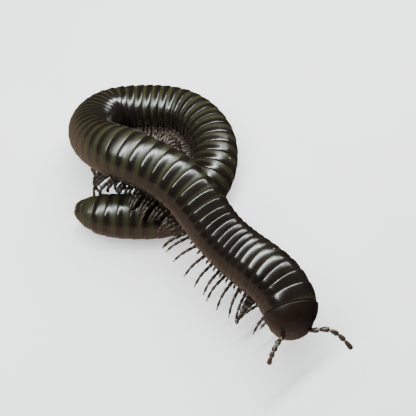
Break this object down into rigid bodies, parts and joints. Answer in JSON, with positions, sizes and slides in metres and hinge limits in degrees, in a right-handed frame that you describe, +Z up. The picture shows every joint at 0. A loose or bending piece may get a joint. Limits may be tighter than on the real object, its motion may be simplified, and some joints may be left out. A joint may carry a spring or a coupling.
{
  "type": "giant african millipede model",
  "caption": "Life-size still model of a spirostreptus millipede, its ringed front body crossing over its own coiled rear body, head raised",
  "frame": {"origin": "on the floor, under the middle of the model's box", "axes": "+X is to the right as seen by the picture's camera, +Y is away from it, +Z is up; the head looks roughly towards -Y and the long way of the box is Y"},
  "size_m": [0.076, 0.092, 0.0301],
  "materials": {
    "black_cuticle": "smooth near-black cuticle, glossy",
    "olive_cuticle": "black-brown cuticle with olive-green bands, glossy",
    "brown_cuticle": "dark red-brown cuticle, satin",
    "eye_cuticle": "black clustered lenses, glossy"
  },
  "bodies": {
    "root": {"head": "brown_cuticle", "cheek_left": "brown_cuticle", "cheek_right": "brown_cuticle", "mouth_plate": "brown_cuticle", "eye_left": "eye_cuticle", "eye_right": "eye_cuticle", "antenna_left": "brown_cuticle", "antenna_right": "brown_cuticle", "collum": "black_cuticle", "body_length_01": "olive_cuticle", "body_length_02": "olive_cuticle", "body_length_03": "olive_cuticle", "body_length_04": "olive_cuticle", "body_length_05": "olive_cuticle", "body_length_06": "olive_cuticle", "body_length_07": "olive_cuticle", "body_length_08": "olive_cuticle", "body_length_09": "olive_cuticle", "body_length_10": "olive_cuticle", "tail_ring": "olive_cuticle", "anal_valve_left": "olive_cuticle", "anal_valve_right": "olive_cuticle"}
  },
  "joints": []
}
